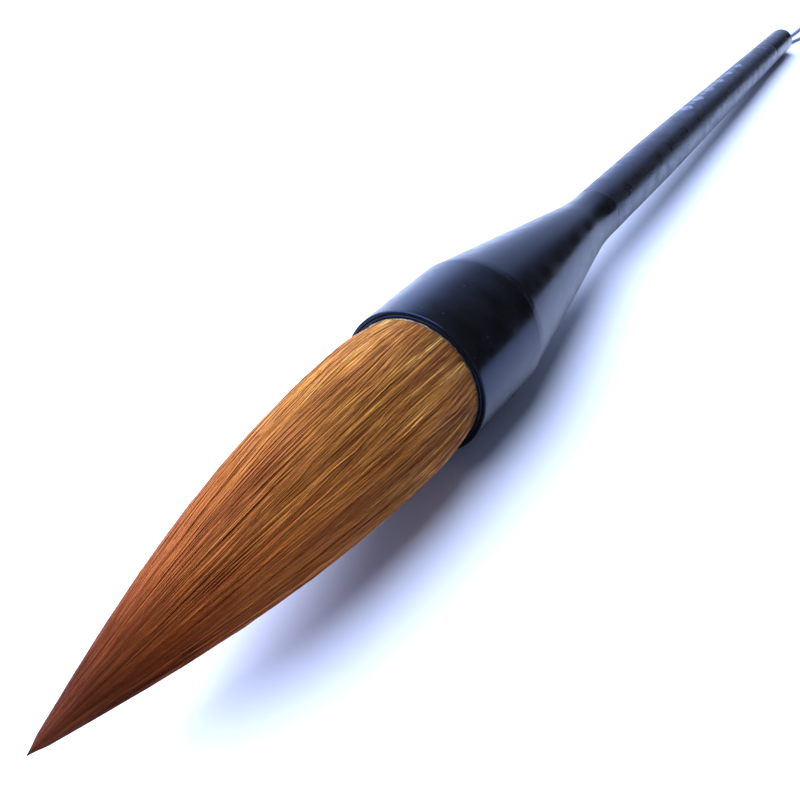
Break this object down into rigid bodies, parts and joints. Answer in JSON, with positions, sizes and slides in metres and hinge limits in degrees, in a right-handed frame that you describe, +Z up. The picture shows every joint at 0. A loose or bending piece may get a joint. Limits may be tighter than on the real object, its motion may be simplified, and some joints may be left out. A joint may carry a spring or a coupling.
{
  "type": "calligraphy brush",
  "caption": "Large calligraphy brush: pointed hair tuft that bends, black cone ferrule, slim tapered handle and a hanging cord.",
  "frame": {"origin": "on the table that the brush lies on, under the middle of its length without the cord", "axes": "+Y along the brush, from the tip of the hair to the tail; +Z up; the brush rests on its widest ring and its tail, so its own axis dips 2 degrees towards the tail"},
  "size_m": [0.0214, 0.337, 0.0218],
  "materials": {
    "outer_hair": "fine straight hair, satin",
    "inner_hair": "fine straight hair, satin",
    "tip_hair": "fine straight hair, smooth",
    "thread": "twisted cotton",
    "resin": "cast, glossy",
    "glue": "dried glue, semi-matte",
    "black_horn": "polished",
    "black_lacquer": "polished lacquer",
    "bare_wood": "turned, unfinished",
    "pale_paint": "matt",
    "cord": "twisted, matt"
  },
  "bodies": {
    "brush": {"hair_root": "outer_hair", "root_thread": "thread", "root_resin": "resin", "seal_glue": "glue", "mouth_liner": "black_horn", "collar": "black_horn", "ferrule_cone": "black_horn", "glue_bed": "glue", "shaft": "black_lacquer", "shaft_inlays": "pale_paint", "joining_dowel": "bare_wood", "tail_cap": "black_horn", "cap_tenon": "bare_wood", "cord_knot": "cord", "hanging_cord": "cord"},
    "tuft": {"cover_hair": "outer_hair", "belly_hair": "inner_hair", "core_hair": "tip_hair"}
  },
  "joints": [
    {"name": "tuft_bend", "type": "hinge", "parent": "brush", "child": "tuft", "pos_m": [0, -0.08702, 0.01162], "axis": [0, 0.036, 0.9994], "range_deg": [-28, 28], "stiffness_Nm_per_rad": 0.02}
  ]
}
